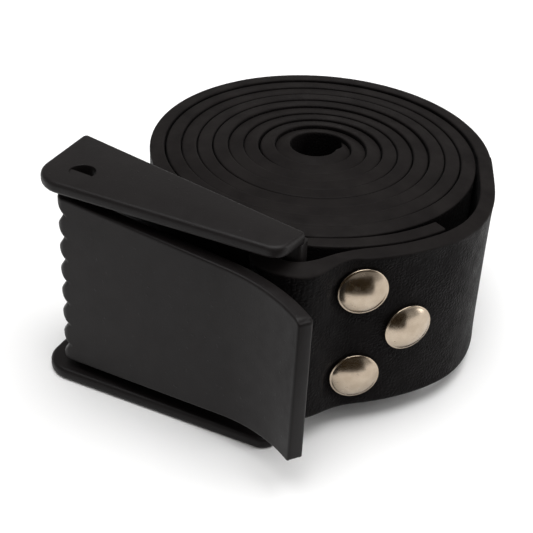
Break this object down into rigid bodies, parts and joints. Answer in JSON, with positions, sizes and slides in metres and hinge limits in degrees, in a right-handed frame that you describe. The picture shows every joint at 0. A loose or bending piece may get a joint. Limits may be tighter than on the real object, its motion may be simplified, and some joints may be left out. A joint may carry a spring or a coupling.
{
  "type": "dive weight belt",
  "caption": "Rolled flat rubber weight belt with a moulded cam buckle, its hinged flap closed, held in a strap loop by domed metal rivets.",
  "frame": {"origin": "centre of the whole object's box; its height is the middle of the strap's width and of the buckle", "axes": "+Z along the strap's width, which is the roll's axis and the buckle's hinge axes; +X along the buckle from its hinge end to the bar that holds the strap; +Y from the buckle's flap to the roll behind it"},
  "size_m": [0.113, 0.133, 0.0672],
  "materials": {
    "rubber": "matte, fine leather-like grain",
    "frame_nylon": "fine satin moulding texture",
    "flap_nylon": "fine satin moulding texture",
    "nickel": "satin nickel plate"
  },
  "bodies": {
    "belt": {"strap": "rubber", "upper_rivet_cap": "nickel", "upper_rivet_post": "nickel", "upper_rivet_socket": "nickel", "upper_rivet_back_cap": "nickel", "middle_rivet_cap": "nickel", "middle_rivet_post": "nickel", "middle_rivet_socket": "nickel", "middle_rivet_back_cap": "nickel", "lower_rivet_cap": "nickel", "lower_rivet_post": "nickel", "lower_rivet_socket": "nickel", "lower_rivet_back_cap": "nickel"},
    "frame": {"buckle_frame": "frame_nylon"},
    "flap": {"buckle_flap": "flap_nylon"}
  },
  "joints": [
    {"name": "buckle_swing", "type": "hinge", "parent": "belt", "child": "frame", "pos_m": [0.0188, -0.04402, 0], "axis": [0, 0, 1], "range_deg": [-3, 70]},
    {"name": "flap_lever", "type": "hinge", "parent": "frame", "child": "flap", "pos_m": [-0.0448, -0.04612, 0], "axis": [0, 0, -1], "range_deg": [0, 110]}
  ]
}
